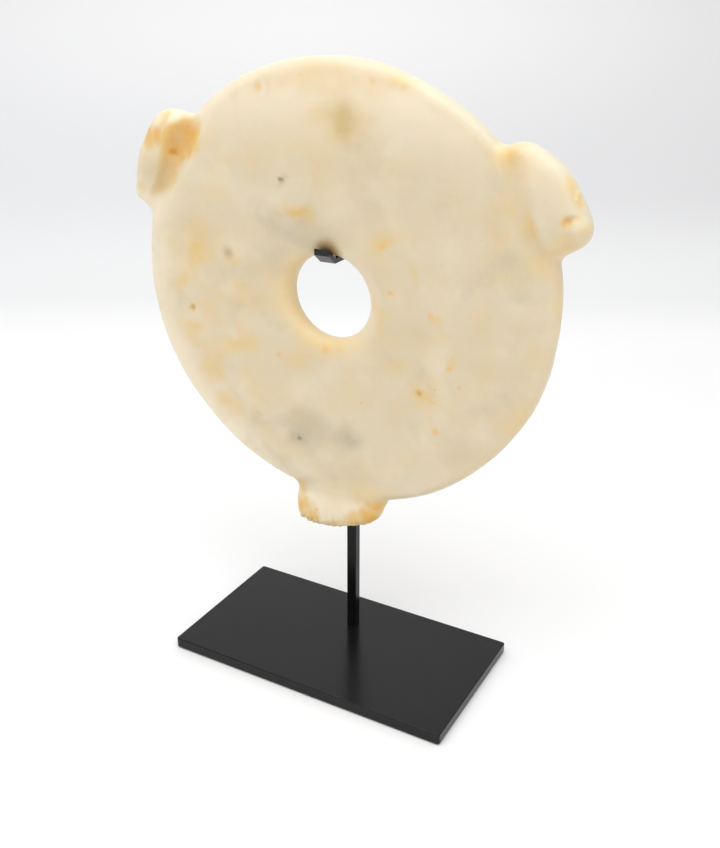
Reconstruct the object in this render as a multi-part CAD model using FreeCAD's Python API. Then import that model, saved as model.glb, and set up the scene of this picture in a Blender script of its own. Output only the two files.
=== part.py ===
"""Carved marble disc with three ears, hung by its hole on a flat hook of a small steel stand.

Millimetres. +Z is up, the viewer stands on the -Y side, and the origin is the middle of the
stand's underside. The post, the hook and the disc are set out square to the plate, about the
post's axis, and then turned together by head_turn.
"""
import FreeCAD, Part
import math
import os

V = FreeCAD.Vector

# Stand: plate, felt and post
plate_length = 150.0
plate_depth = 80.0
plate_thickness = 5.0
plate_corner_radius = 1.2
plate_edge_round = 0.5
felt_thickness = 0.8
felt_inset = 2.0
post_side = 5.0
post_edge_round = 0.5
post_right_of_centre = -1.5
post_behind_centre = 16.3
post_bend_radius = 9.0
bypass_margin = 2.5
head_turn = 2.2

# Countersunk screw that holds the post
screw_radius = 1.5
screw_head_radius = 2.9
screw_head_height = 1.6
screw_depth_in_post = 9.0
screw_socket_width = 2.0
screw_socket_depth = 1.0
screw_fit = 0.05
screw_plate_clearance = 0.2
screw_hole_end_room = 1.0

# Marble disc
disc_radius = 100.5
disc_thickness = 12.2
rim_round = 5.1
hole_radius = 19.6
hole_edge_round = 4.6
hole_right_of_centre = -2.6
hole_above_centre = -1.5
disc_centre_height = 190.5
disc_right_of_post = -0.3
disc_lean = 2.0

# Ears on the rim: thickness, roots and rounding are shared, the rest is each ear's own
ear_thickness = 14.3
ear_root = 4.6
ear_root_round = 5.1
ear_edge_round = 5.1
most_round_share = 0.98
right_ear_angle = 29.0
right_ear_width = 49.0
right_ear_reach = 16.3
right_ear_twist = 7.0
right_ear_upper_round = 14.8
right_ear_lower_round = 11.2
left_ear_angle = 149.0
left_ear_width = 47.0
left_ear_reach = 12.7
left_ear_twist = 0.0
left_ear_upper_round = 10.2
left_ear_lower_round = 11.2
bottom_ear_angle = -90.5
bottom_ear_width = 45.0
bottom_ear_reach = 16.5
bottom_ear_twist = 7.0
bottom_ear_right_round = 14.3
bottom_ear_left_round = 10.2
groove_radius = 3.5
groove_depth = 2.2
groove_inside_rim = 4.9
groove_length_share = 0.72

# Hook, its liner and the pad on the post
hook_width = 7.3
hook_thickness = 2.2
hook_bend_radius = 1.0
hook_rise_angle = 38.0
hook_tip_ahead = 2.9
hook_bend_inside_lip = 1.2
hook_left_of_hole = 0.3
liner_thickness = 0.3
liner_end_inset = 0.6
liner_side_inset = 1.2
pad_thickness = 0.7
pad_height = 14.0
contact_gap = 0.3

overrun = 2.0

# Heights and planes that the pieces share
plate_top = felt_thickness + plate_thickness
post_half = post_side / 2
post_front = -post_half
disc_half = disc_thickness / 2
ear_half = ear_thickness / 2
lean = math.radians(disc_lean)

# The lowest ear leans on the pad, which sets how far the disc stands in front of the post
ear_drop = disc_radius + bottom_ear_reach / 2
ear_back = ear_drop * math.sin(lean) + ear_half * math.cos(lean)
disc_plane = post_front - pad_thickness - contact_gap - ear_back

# The hole's front lip rests on the long edges of the liner, on the rising part of the hook
hole_across = disc_right_of_post + hole_right_of_centre
hole_top_reach = hole_above_centre + hole_radius
throat_half = disc_half - hole_edge_round
throat_plane = disc_plane - hole_top_reach * math.sin(lean)
hole_top = disc_centre_height + hole_top_reach * math.cos(lean) - throat_half * math.sin(lean)
hole_height = disc_centre_height + hole_above_centre * math.cos(lean)
liner_half = hook_width / 2 - liner_side_inset
hole_fall = hole_radius - math.sqrt(hole_radius ** 2 - (liner_half + hook_left_of_hole) ** 2)
rise = math.radians(hook_rise_angle)
bend_plane = throat_plane - throat_half - hook_bend_inside_lip
lip_drop = (hole_edge_round + contact_gap + liner_thickness) / math.cos(rise) - hole_edge_round
seat_top = hole_top - hole_fall - lip_drop + hook_bend_inside_lip * math.tan(rise)
seat_bottom = seat_top - hook_thickness
hook_across = hole_across - hook_left_of_hole


def save(name, shape):
    """Write one piece as a STEP file named after it."""
    shape.exportStep("parts/%s.step" % name)


def on_post_axis(shape):
    """Turn a piece of the head with the others and carry it to the post's place on the plate."""
    placed = shape.copy()
    placed.rotate(V(0, 0, 0), V(0, 0, 1), head_turn)
    placed.translate(V(post_right_of_centre, post_behind_centre, 0))
    return placed


def edges_along(shape, direction):
    """Straight edges of a shape that run along one direction."""
    found = []
    for edge in shape.Edges:
        if isinstance(edge.Curve, Part.Line):
            if abs(edge.tangentAt(edge.FirstParameter).dot(direction)) > 0.999:
                found.append(edge)
    return found


def edges_in_plane(shape, direction, level):
    """Edges of a shape that lie wholly in the plane at one level along a direction."""
    found = []
    for edge in shape.Edges:
        middle = edge.valueAt((edge.FirstParameter + edge.LastParameter) / 2)
        places = [vertex.Point for vertex in edge.Vertexes] + [middle]
        if all(abs(place.dot(direction) - level) < post_edge_round / 100 for place in places):
            found.append(edge)
    return found


def slab(length, depth, height, low):
    """Upright box centred on the Z axis, with its underside at one height."""
    return Part.makeBox(length, depth, height, V(-length / 2, -depth / 2, low))


def base_plate():
    """Steel plate with softened edges, a screw hole and its countersink from below."""
    plate = slab(plate_length, plate_depth, plate_thickness, felt_thickness)
    plate = plate.makeFillet(plate_corner_radius, edges_along(plate, V(0, 0, 1)))
    plate = plate.makeFillet(plate_edge_round, edges_in_plane(plate, V(0, 0, 1), plate_top))
    at_post = V(post_right_of_centre, post_behind_centre, felt_thickness)
    hole = Part.makeCylinder(screw_radius + screw_plate_clearance, plate_thickness + overrun, at_post)
    sink = Part.makeCone(screw_head_radius + screw_fit, screw_radius + screw_fit, screw_head_height, at_post)
    return plate.cut(hole).cut(sink)


def base_felt():
    """Thin sheet under the plate, a little smaller than it."""
    sheet = slab(plate_length - 2 * felt_inset, plate_depth - 2 * felt_inset, felt_thickness, 0)
    return sheet.makeFillet(plate_corner_radius, edges_along(sheet, V(0, 0, 1)))


def base_screw():
    """Countersunk screw with a hexagon socket, from the plate's underside up into the post."""
    head = Part.makeCone(screw_head_radius, screw_radius, screw_head_height)
    length = plate_thickness + screw_depth_in_post
    screw = head.fuse(Part.makeCylinder(screw_radius, length)).removeSplitter()
    corner = screw_socket_width / math.sqrt(3)
    corners = [V(corner * math.cos(math.radians(60 * k)), corner * math.sin(math.radians(60 * k)), 0)
               for k in range(7)]
    socket = Part.Face(Part.makePolygon(corners)).extrude(V(0, 0, screw_socket_depth))
    screw = screw.cut(socket)
    screw.translate(V(0, 0, felt_thickness))
    return screw


def arc_edge(centre, radius, start, end):
    """Arc in the X-Z plane about a centre, between two angles in degrees from +X towards +Z."""
    def at(angle):
        turn = math.radians(angle)
        return V(centre.x + radius * math.cos(turn), 0, centre.z + radius * math.sin(turn))
    return Part.Arc(at(start), at((start + end) / 2), at(end)).toShape()


def line_edge(start, end):
    """Straight edge between two points."""
    return Part.LineSegment(start, end).toShape()


def post():
    """Square bar: straight up, aside to the right, round the hole and back above it."""
    ring = V(hole_across, 0, hole_height)
    ring_radius = hole_radius + bypass_margin + post_half
    drop = math.sqrt((post_bend_radius + ring_radius) ** 2 - (post_bend_radius - ring.x) ** 2)
    bend = V(post_bend_radius, 0, ring.z - drop)
    meet = math.degrees(math.atan2(ring.z - bend.z, ring.x - bend.x))
    end = math.degrees(math.acos((hook_across - hook_width / 2 - ring.x) / ring_radius))
    outer = [arc_edge(bend, post_bend_radius - post_half, 180, meet),
             arc_edge(ring, ring_radius + post_half, meet - 180, end)]
    inner = [arc_edge(ring, ring_radius - post_half, end, meet - 180),
             arc_edge(bend, post_bend_radius + post_half, meet, 180)]
    foot_right = V(post_half, 0, plate_top)
    foot_left = V(-post_half, 0, plate_top)
    edges = [line_edge(foot_left, foot_right), line_edge(foot_right, outer[0].Vertexes[0].Point)]
    edges += outer
    edges.append(line_edge(outer[1].Vertexes[-1].Point, inner[0].Vertexes[0].Point))
    edges += inner
    edges.append(line_edge(inner[1].Vertexes[-1].Point, foot_left))
    outline = Part.Wire(Part.__sortEdges__(edges))
    bar = Part.Face(outline).extrude(V(0, post_side, 0))
    bar.translate(V(0, -post_half, 0))
    long_edges = []
    for level in (-post_half, post_half):
        for edge in edges_in_plane(bar, V(0, 1, 0), level):
            if edge.Length > post_side * 1.5:
                long_edges.append(edge)
    bar = bar.makeFillet(post_edge_round, long_edges)
    depth = screw_depth_in_post + screw_hole_end_room
    return bar.cut(Part.makeCylinder(screw_radius + screw_fit, depth, V(0, 0, plate_top)))


def hook():
    """Flat strip: a tab on the post's end, a level seat through the hole and a tip turned up."""
    tab_back = post_front
    tab_front = tab_back - hook_thickness
    tab_top = hole_height + hole_radius + bypass_margin + post_side
    tip = throat_plane - disc_half - hook_tip_ahead
    climb = (bend_plane - tip) * math.tan(rise)
    under_bend = bend_plane - hook_thickness * math.tan(rise / 2)
    under_climb = (under_bend - tip) * math.tan(rise)
    outline = [V(0, tab_back, tab_top), V(0, tab_front, tab_top), V(0, tab_front, seat_top),
               V(0, bend_plane, seat_top), V(0, tip, seat_top + climb), V(0, tip, seat_bottom + under_climb),
               V(0, under_bend, seat_bottom), V(0, tab_back, seat_bottom), V(0, tab_back, tab_top)]
    strip = Part.Face(Part.makePolygon(outline)).extrude(V(hook_width, 0, 0))
    strip.translate(V(hook_across - hook_width / 2, 0, 0))
    inside = []
    outside = []
    for edge in edges_along(strip, V(1, 0, 0)):
        place = edge.Vertexes[0].Point
        for corner, group in ((outline[2], inside), (outline[7], outside), (outline[6], outside)):
            if math.hypot(place.y - corner.y, place.z - corner.z) < hook_thickness / 100:
                group.append(edge)
    strip = strip.makeFillet(hook_bend_radius, inside)
    return strip.makeFillet(hook_bend_radius, outside)


def hook_liner():
    """Felt along the middle of the hook's rising part, under the hole's front lip."""
    length = (hole_edge_round - hook_bend_inside_lip) / math.cos(rise) - 2 * liner_end_inset
    liner = Part.makeBox(2 * liner_half, length, liner_thickness, V(-liner_half, -length - liner_end_inset, 0))
    liner.rotate(V(0, 0, 0), V(1, 0, 0), -hook_rise_angle)
    liner.translate(V(hook_across, bend_plane, seat_top))
    return liner


def lug_pad():
    """Felt on the post's front face, behind the lowest ear."""
    middle = disc_centre_height - ear_drop * math.cos(lean)
    width = post_side - 2 * post_edge_round
    corner = V(-width / 2, post_front - pad_thickness, middle - pad_height / 2)
    return Part.makeBox(width, pad_thickness, pad_height, corner)


def ear(angle, width, reach, twist, left_round, right_round):
    """Rounded ear on the rim at one angle from +X towards +Z, turned on itself by its twist."""
    inner = disc_radius - ear_root
    length = ear_root + reach
    block = Part.makeBox(length, ear_thickness, width, V(inner, -ear_half, -width / 2))
    root_round = min(ear_root_round, most_round_share * min(length, width / 2))
    most = min(most_round_share * length - root_round, most_round_share * width / 2)
    outer_x = disc_radius + reach
    corners = [(inner, -1, root_round), (inner, 1, root_round),
               (outer_x, 1, min(left_round, most)), (outer_x, -1, min(right_round, most))]
    for x, side, radius in corners:
        for edge in edges_along(block, V(0, 1, 0)):
            place = edge.Vertexes[0].Point
            if math.hypot(place.x - x, place.z - side * width / 2) < ear_edge_round / 100:
                block = block.makeFillet(radius, [edge])
                break
    faces = edges_in_plane(block, V(0, 1, 0), ear_half) + edges_in_plane(block, V(0, 1, 0), -ear_half)
    block = block.makeFillet(min(ear_edge_round, most_round_share * min(root_round, ear_half)), faces)
    block.rotate(V(inner + length / 2, 0, 0), V(0, 1, 0), -twist)
    block.rotate(V(0, 0, 0), V(0, 1, 0), -angle)
    return block


def groove(angle, width, side):
    """Round-ended channel along an ear's root, in the front (-1) or back (+1) face."""
    length = width * groove_length_share
    middle = disc_radius - groove_inside_rim
    level = side * (disc_half - groove_depth + groove_radius)
    start = V(middle, level, -length / 2)
    end = V(middle, level, length / 2)
    tool = Part.makeCylinder(groove_radius, length, start)
    tool = tool.fuse([Part.makeSphere(groove_radius, start), Part.makeSphere(groove_radius, end)])
    tool.rotate(V(0, 0, 0), V(0, 1, 0), -angle)
    return tool


def marble_disc():
    """Disc with a rounded rim, an off-centre hole and three ears, leaning forward from its hook."""
    stone = Part.makeCylinder(disc_radius, disc_thickness, V(0, -disc_half, 0), V(0, 1, 0))
    stone = stone.makeFillet(rim_round, edges_in_plane(stone, V(0, 1, 0), disc_half)
                             + edges_in_plane(stone, V(0, 1, 0), -disc_half))
    hole_start = V(hole_right_of_centre, -disc_half - overrun, hole_above_centre)
    stone = stone.cut(Part.makeCylinder(hole_radius, disc_thickness + 2 * overrun, hole_start, V(0, 1, 0)))
    mouths = []
    for level in (-disc_half, disc_half):
        for edge in edges_in_plane(stone, V(0, 1, 0), level):
            if edge.Curve.Radius < 2 * hole_radius:
                mouths.append(edge)
    stone = stone.makeFillet(hole_edge_round, mouths)
    right = (right_ear_angle, right_ear_width, right_ear_reach, right_ear_twist,
             right_ear_upper_round, right_ear_lower_round)
    left = (left_ear_angle, left_ear_width, left_ear_reach, left_ear_twist,
            left_ear_lower_round, left_ear_upper_round)
    bottom = (bottom_ear_angle, bottom_ear_width, bottom_ear_reach, bottom_ear_twist,
              bottom_ear_right_round, bottom_ear_left_round)
    stone = stone.fuse([ear(*sizes) for sizes in (right, left, bottom)])
    channels = []
    for angle, width, *_ in (right, left, bottom):
        for side in (-1, 1):
            channels.append(groove(angle, width, side))
    stone = stone.cut(channels)
    stone.rotate(V(0, 0, 0), V(1, 0, 0), disc_lean)
    stone.translate(V(disc_right_of_post, disc_plane, disc_centre_height))
    return stone


os.makedirs("parts", exist_ok=True)
save("base_plate", base_plate())
save("base_felt", base_felt())
for name, make in (("base_screw", base_screw), ("post", post), ("hook", hook), ("hook_liner", hook_liner),
                   ("lug_pad", lug_pad), ("marble_disc", marble_disc)):
    save(name, on_post_axis(make()))
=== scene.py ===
"""Looks of the carved marble disc on its black display stand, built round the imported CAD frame.

The stone is meshed from a distance field in the disc's own frame: u to the viewer's right, y away from
the viewer and w up, all from the disc's centre, in units of STONE_SCALE millimetres. Its pose on the
stand is in millimetres, and the camera, the paper and the lamp are in metres.
"""
import math

import bmesh
import bpy
import numpy as np
from mathutils import Matrix, Vector


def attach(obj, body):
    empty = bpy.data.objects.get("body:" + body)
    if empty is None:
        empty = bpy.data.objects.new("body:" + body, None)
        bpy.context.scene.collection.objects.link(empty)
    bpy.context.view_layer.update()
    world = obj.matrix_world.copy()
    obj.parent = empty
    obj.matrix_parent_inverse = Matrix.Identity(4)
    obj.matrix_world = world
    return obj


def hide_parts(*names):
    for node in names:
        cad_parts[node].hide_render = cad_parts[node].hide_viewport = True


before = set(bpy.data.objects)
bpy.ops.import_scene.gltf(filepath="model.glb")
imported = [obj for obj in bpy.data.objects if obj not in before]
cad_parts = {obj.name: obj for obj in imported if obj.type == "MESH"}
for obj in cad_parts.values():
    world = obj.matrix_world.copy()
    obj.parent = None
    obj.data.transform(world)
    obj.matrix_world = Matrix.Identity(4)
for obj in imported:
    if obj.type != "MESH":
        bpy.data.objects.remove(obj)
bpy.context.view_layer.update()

MM = 0.001

# The camera's place and turn, worked out from the photograph in the row frame
CAMERA_PLACE = (0.2156, -0.3677, 0.3191)
CAMERA_YAW = math.radians(29.08)
CAMERA_PITCH = math.radians(24.13)
CAMERA_ROLL = math.radians(0.24)
FOCAL_PIXELS = 1000.0
IMAGE_LONG_SIDE = 848.0
SENSOR = 36.0
CLIP_START = 0.01

# The disc's pose in the row frame, in the part's own sizes, and the size of one unit of the stone's frame
HEAD_TURN = math.radians(2.2)
HEAD_RIGHT = -1.5
HEAD_BEHIND = 16.3
DISC_LEAN = math.radians(2.0)
DISC_RIGHT = -0.3
DISC_BEHIND = -14.441
DISC_HEIGHT = 190.5
STONE_SCALE = 1.02

# The stone's sizes; the rim's radius is given at angles from +u towards +w
RIM = ((-163, 99.6), (-147, 99.5), (-130, 99.5), (-113, 100), (-90, 99.5), (-67, 99.7), (-52, 98.2),
       (-38, 98), (-12, 98.5), (0, 99), (10, 100.4), (25, 100), (48, 98.7), (57, 97.8), (79, 98),
       (98, 97.6), (126, 98.5), (150, 98.5), (174, 98.4))
RIM_SOFT_DEGREES = 19
DISC_HALF = 6.0
RIM_ROUND = 5.0
HOLE_RADIUS = 19.2
HOLE_U = -2.6
HOLE_W = -1.5
HOLE_ROUND = 5.2
EAR_HALF = 7.0
BOTTOM_EAR_HALF = 6.5
BOTTOM_EAR_SLOPE = 0.07
BOTTOM_EAR_REACH = 108.0
EAR_ROUND = 5.5
# How much the rim's rounding changes along it, and the wavelength, number and seed of its waves
RIM_ROUND_CHANGE = 0.15
RIM_ROUND_WAVES = (70.0, 5, 3)
# How far the faces fall off towards an edge, and between which places inside it
RIM_FALL = 0.7
RIM_FALL_SPAN = (-15.0, -3.0)
HOLE_FALL = 0.4
HOLE_FALL_SPAN = (-9.0, -2.0)
EAR_FALL = 0.8
EAR_FALL_SPAN = (-11.0, -2.0)
# How softly forms run into each other
NECK_BLEND = 5.0
CREASE_BLEND = 3.0
VALLEY_BLEND = 2.0
CLEFT_BLEND = 1.6
MOUTH_BLEND = 0.6
KNOB_BLEND = 2.0
PIT_BLEND = 1.2
RIGHT_CHIP_BLEND = 2.0
BOTTOM_CHIP_BLEND = 0.6

# Ear outlines in the disc's plane, and the steps of the smooth curve from one corner to the next
OUTLINE_STEPS = 4
RIGHT_EAR = ((69, 60), (72, 66.2), (74.6, 68.6), (78, 70.2), (82.4, 70.1), (86.2, 68.8), (90.5, 66.4),
             (94.8, 63.4), (98.3, 60.3), (101.2, 56.4), (103.7, 52), (106.2, 47.5), (108.1, 43.4),
             (108.6, 39.4), (107.8, 35.8), (105.4, 33), (101.6, 30.7), (97.3, 28.7), (90, 30), (85, 35),
             (80, 46), (72, 54))
LEFT_EAR = ((-94, 29.5), (-99.3, 31.2), (-101.9, 33.3), (-102.7, 36.5), (-102.1, 41.4), (-100.8, 47.8),
            (-98.7, 54.2), (-95.3, 59.8), (-91.4, 65.7), (-87.4, 70.3), (-83, 72.6), (-78.5, 72.9),
            (-73.5, 72), (-69, 69), (-72, 60), (-78, 50), (-84, 40), (-88, 33))
BOTTOM_EAR = ((-19.6, -92), (-22.8, -99), (-24, -108), (-22.8, -115), (-17.6, -118.4), (-9, -118.3),
              (0, -116.9), (8, -114.6), (14.8, -111.8), (19.6, -107.8), (21.8, -103.2), (23.4, -97),
              (20, -88), (-17, -86))


def smooth(low, high, value):
    """0 below low, 1 above high and a smooth step between them."""
    t = np.clip((value - low) / (high - low), 0.0, 1.0)
    return t * t * (3.0 - 2.0 * t)


def join(a, b, reach):
    """Union of two distance fields with a fillet of about this reach."""
    h = np.clip(0.5 + 0.5 * (b - a) / reach, 0.0, 1.0)
    return b * (1.0 - h) + a * h - reach * h * (1.0 - h)


def carve(a, b, reach):
    """Field a with b taken away, and a softened edge where they meet."""
    return -join(-a, b, reach)


def slab(edge, y, half, rounding):
    """Distance to a slab with a rounded edge, from the distance past its outline."""
    out = edge + rounding
    up = np.abs(y) - (half - rounding)
    outside = np.hypot(np.maximum(out, 0.0), np.maximum(up, 0.0))
    return np.minimum(np.maximum(out, up), 0.0) + outside - rounding


# The shortest and the longest wave, as shares of the wavelength that is asked for
WAVE_SPREAD = (0.7, 1.5)


def swell(points, wave, waves, seed):
    """Smooth waviness between about -1 and 1, a sum of plane waves of about one wavelength."""
    rng = np.random.default_rng(seed)
    total = np.zeros(len(points))
    for _ in range(waves):
        way = rng.normal(size=3)
        way /= np.linalg.norm(way)
        length = wave * rng.uniform(*WAVE_SPREAD)
        total += np.sin(points @ way * (2.0 * math.pi / length) + rng.uniform(0.0, 2.0 * math.pi))
    return total / math.sqrt(waves)


def smooth_loop(corners):
    """Closed curve through the corners, as a polygon."""
    p = np.array(corners, float)
    before, after, beyond = np.roll(p, 1, 0), np.roll(p, -1, 0), np.roll(p, -2, 0)
    rings = []
    for k in range(OUTLINE_STEPS):
        t = k / OUTLINE_STEPS
        square = (2 * before - 5 * p + 4 * after - beyond) * t ** 2
        cube = (3 * p - before - 3 * after + beyond) * t ** 3
        rings.append(0.5 * (2 * p + (after - before) * t + square + cube))
    return np.stack(rings, 1).reshape(-1, 2)


def loop_distance(u, w, ring):
    """Distance to a closed polygon, negative inside."""
    near = np.full(len(u), np.inf)
    inside = np.zeros(len(u), bool)
    for (au, aw), (bu, bw) in zip(ring, np.roll(ring, -1, 0)):
        du, dw = bu - au, bw - aw
        t = np.clip(((u - au) * du + (w - aw) * dw) / (du * du + dw * dw), 0.0, 1.0)
        near = np.minimum(near, np.hypot(u - au - t * du, w - aw - t * dw))
        if aw != bw:
            crosses = ((aw > w) != (bw > w)) & (u < au + (w - aw) * du / dw)
            inside ^= crosses
    return np.where(inside, -near, near)


def rope(points, stops):
    """Distance to a chain of tapered capsules; each stop is (u, y, w, radius)."""
    best = np.full(len(points), np.inf)
    for start, end in zip(stops, stops[1:]):
        a, b = np.array(start[:3], float), np.array(end[:3], float)
        t = np.clip((points - a) @ (b - a) / ((b - a) @ (b - a)), 0.0, 1.0)
        radius = start[3] + (end[3] - start[3]) * t
        best = np.minimum(best, np.linalg.norm(points - a - t[:, None] * (b - a), axis=1) - radius)
    return best


def ball(points, centre, radius):
    """Distance to a sphere."""
    return np.linalg.norm(points - np.array(centre, float), axis=1) - radius


RINGS = {name: smooth_loop(corners) for name, corners in
         (("right", RIGHT_EAR), ("left", LEFT_EAR), ("bottom", BOTTOM_EAR))}

# Channels along the roots of the ears, front and back, the left ear's cleft and the right ear's mouth line.
# They are chains of stops, each of u, y, w and radius, as all lines on the stone are.
RIGHT_CREASE = ((74, -13.4, 73, 6), (77.5, -12.7, 64, 6), (79.5, -12.1, 54, 6), (83, -11.2, 44.5, 5.8),
                (85.8, -9.7, 36.5, 5), (90, -9.9, 29.5, 4.6), (97, -11.2, 25, 4))
LEFT_VALLEY = ((-62, -8.8, 77, 5.5), (-68.5, -8.8, 67.5, 6.2), (-74, -8.6, 58, 6.6), (-78, -8.6, 50.5, 6),
               (-83.4, -8.7, 42.5, 5), (-88.6, -8.8, 35.5, 4.2), (-93, -9, 28, 3.6))
LEFT_CLEFT = ((-79.5, -5, 74, 1.6), (-80.5, -7.4, 70.5, 2), (-82, -8.2, 67, 1.9), (-84.5, -8.4, 63.5, 1.4))
RIGHT_BACK = ((77, 12.6, 70, 6), (82, 11.9, 56, 6), (88, 11.6, 38, 6), (95, 12, 25, 6))
LEFT_BACK = ((-66, 11.4, 76, 5.6), (-77, 10.9, 56, 5.6), (-86, 11, 40, 5.4), (-93, 11.4, 28, 5))
BOTTOM_BACK = ((-27, 12.4, -96, 6), (0, 12, -98, 6), (27, 12.4, -96, 6))
MOUTH = ((99.4, -7.3, 43, 0.7), (100.6, -6.9, 44.3, 1.3), (102, -6.7, 45.3, 0.9), (104.2, -6.4, 46, 0.6),
         (105.8, -6.2, 45.4, 0.3))
# The right ear's knob and the left ear's pit: centre and radius
KNOB = ((103.8, -3.0, 40.6), 4.4)
PIT = ((-79.0, -3.5, 55.0), 1.6)
# Small chips: centre and radius
RIGHT_CHIPS = ((103.6, -2, 56.8, 1.3), (106.3, -2.4, 51.8, 1.4), (104.4, -4.8, 53.8, 1.1),
               (102.4, 3.5, 59.4, 2.2), (101.4, -5.3, 58, 1.0), (99.4, -5.2, 61.8, 0.9))
BOTTOM_CHIPS = ((-18.6, -4.6, -115.6, 1.6), (-15.2, -5.4, -117, 1.9), (-11.8, -5.3, -117.6, 1.3),
                (-8.8, -5.7, -117.6, 1.8), (-5.6, -5.7, -117.8, 1.5), (-2.4, -6, -117.2, 1.2),
                (1.2, -5.7, -117, 1.7), (5.2, -5.7, -116.2, 1.4), (9, -5.7, -115.2, 1.8),
                (12.8, -5.4, -114, 1.3), (-16.4, -2, -119.2, 1.7), (-10, -2.6, -119.6, 1.8),
                (-7.2, -3.4, -118.9, 1.1), (-4, -3.1, -118.6, 1.6), (-0.6, -3.6, -117.7, 1),
                (3.4, -3.1, -116.9, 1.8), (6.8, -3.5, -115.7, 1.2), (10.4, -3.1, -114.7, 1.7),
                (14.4, -3.4, -112.9, 1.2), (-11, 2.5, -119.8, 2.2), (2.5, 3.2, -118.6, 2))
# Rough broken edges: depth, wavelength and seed, and where they start and are full
RIGHT_ROUGH = (0.22, 3.4, 31)
RIGHT_ROUGH_HEIGHT = 53.0
RIGHT_ROUGH_UP = (4.5, 1.0)
RIGHT_ROUGH_ACROSS = (99.0, 103.0)
BOTTOM_ROUGH = (0.36, 2.8, 32)
BOTTOM_ROUGH_DOWN = (-108.0, -115.0)
# Waviness of the worn surface: depth, wavelength and seed, and how far from the hole it starts and is full
WORN = ((0.16, 34.0, 5), (0.07, 13.0, 6), (0.03, 5.0, 7))
WORN_FROM_HOLE = (0.0, 12.0)
WORN_WAVES = 9


def rim_table():
    """The rim's radius at each whole degree from -180, softened over a few degrees."""
    angles, radii = np.array(RIM, float).T
    table = np.interp(np.arange(-180, 180), angles, radii, period=360)
    window = np.hanning(RIM_SOFT_DEGREES) / np.hanning(RIM_SOFT_DEGREES).sum()
    three_turns = np.concatenate((table, table, table))
    return np.convolve(three_turns, window, "same")[360:720]


RIM_TABLE = rim_table()


def outline_radius(u, w):
    """The disc's uneven outline."""
    return np.interp(np.degrees(np.arctan2(w, u)), np.arange(-180, 180), RIM_TABLE, period=360)


def past_hole(u, w):
    """Distance in the disc's plane from the hole's edge outwards."""
    return np.hypot(u - HOLE_U, w - HOLE_W) - HOLE_RADIUS


def disc_body(points):
    """The disc with its hole, both with rounded edges."""
    u, y, w = points.T
    edge = np.hypot(u, w) - outline_radius(u, w)
    rounding = RIM_ROUND + RIM_ROUND_CHANGE * swell(points, *RIM_ROUND_WAVES)
    outer = slab(edge, y, DISC_HALF - RIM_FALL * smooth(*RIM_FALL_SPAN, edge), rounding)
    inner = -past_hole(u, w)
    hole = slab(inner, y, DISC_HALF - HOLE_FALL * smooth(*HOLE_FALL_SPAN, inner), HOLE_ROUND)
    return np.maximum(outer, hole)


def ear_body(points, ring, half, slope=0.0):
    """One ear: its outline, domed and rounded in depth, and thicker outwards by the slope."""
    edge = loop_distance(points[:, 0], points[:, 2], ring)
    past = np.hypot(points[:, 0], points[:, 2]) - BOTTOM_EAR_REACH
    dome = half + slope * past - EAR_FALL * smooth(*EAR_FALL_SPAN, edge)
    return slab(edge, points[:, 1], dome, EAR_ROUND)


def near_box(points, low, high):
    """Which points lie in a box of the disc's plane."""
    u, w = points[:, 0], points[:, 2]
    return (u > low[0]) & (u < high[0]) & (w > low[1]) & (w < high[1])


def right_ear(points, field):
    """The right ear with its crease, knob, mouth line and chips."""
    field = join(field, ear_body(points, RINGS["right"], EAR_HALF), NECK_BLEND)
    field = join(field, ball(points, *KNOB), KNOB_BLEND)
    field = carve(field, rope(points, RIGHT_CREASE), CREASE_BLEND)
    field = carve(field, rope(points, RIGHT_BACK), CREASE_BLEND)
    field = carve(field, rope(points, MOUTH), MOUTH_BLEND)
    for *centre, radius in RIGHT_CHIPS:
        field = carve(field, ball(points, centre, radius), RIGHT_CHIP_BLEND)
    broken = (smooth(*RIGHT_ROUGH_UP, np.abs(points[:, 2] - RIGHT_ROUGH_HEIGHT))
              * smooth(*RIGHT_ROUGH_ACROSS, points[:, 0]))
    depth, wave, seed = RIGHT_ROUGH
    return field + depth * broken * swell(points, wave, WORN_WAVES, seed)


def left_ear(points, field):
    """The left ear, set off from the disc's edge by a deep valley with a pit."""
    field = join(field, ear_body(points, RINGS["left"], EAR_HALF), NECK_BLEND)
    field = carve(field, rope(points, LEFT_VALLEY), VALLEY_BLEND)
    field = carve(field, ball(points, *PIT), PIT_BLEND)
    field = carve(field, rope(points, LEFT_CLEFT), CLEFT_BLEND)
    return carve(field, rope(points, LEFT_BACK), CREASE_BLEND)


def bottom_ear(points, field):
    """The bottom ear with its chipped lower edge."""
    ear = ear_body(points, RINGS["bottom"], BOTTOM_EAR_HALF, BOTTOM_EAR_SLOPE)
    field = join(field, ear, NECK_BLEND)
    field = carve(field, rope(points, BOTTOM_BACK), CREASE_BLEND)
    for *centre, radius in BOTTOM_CHIPS:
        field = carve(field, ball(points, centre, radius), BOTTOM_CHIP_BLEND)
    depth, wave, seed = BOTTOM_ROUGH
    broken = smooth(*BOTTOM_ROUGH_DOWN, points[:, 2])
    return field + depth * broken * swell(points, wave, WORN_WAVES, seed)


# Each ear with the corners of its box in the disc's plane
EARS = ((right_ear, (62, 14), (116, 80)), (left_ear, (-114, 16), (-56, 84)),
        (bottom_ear, (-36, -126), (36, -80)))


def stone(points):
    """Distance to the whole stone's surface."""
    field = disc_body(points)
    for add, low, high in EARS:
        here = near_box(points, low, high)
        if here.any():
            field[here] = add(points[here], field[here])
    worn = sum(depth * swell(points, wave, WORN_WAVES, seed) for depth, wave, seed in WORN)
    return field + worn * smooth(*WORN_FROM_HOLE, past_hole(points[:, 0], points[:, 2]))


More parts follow.
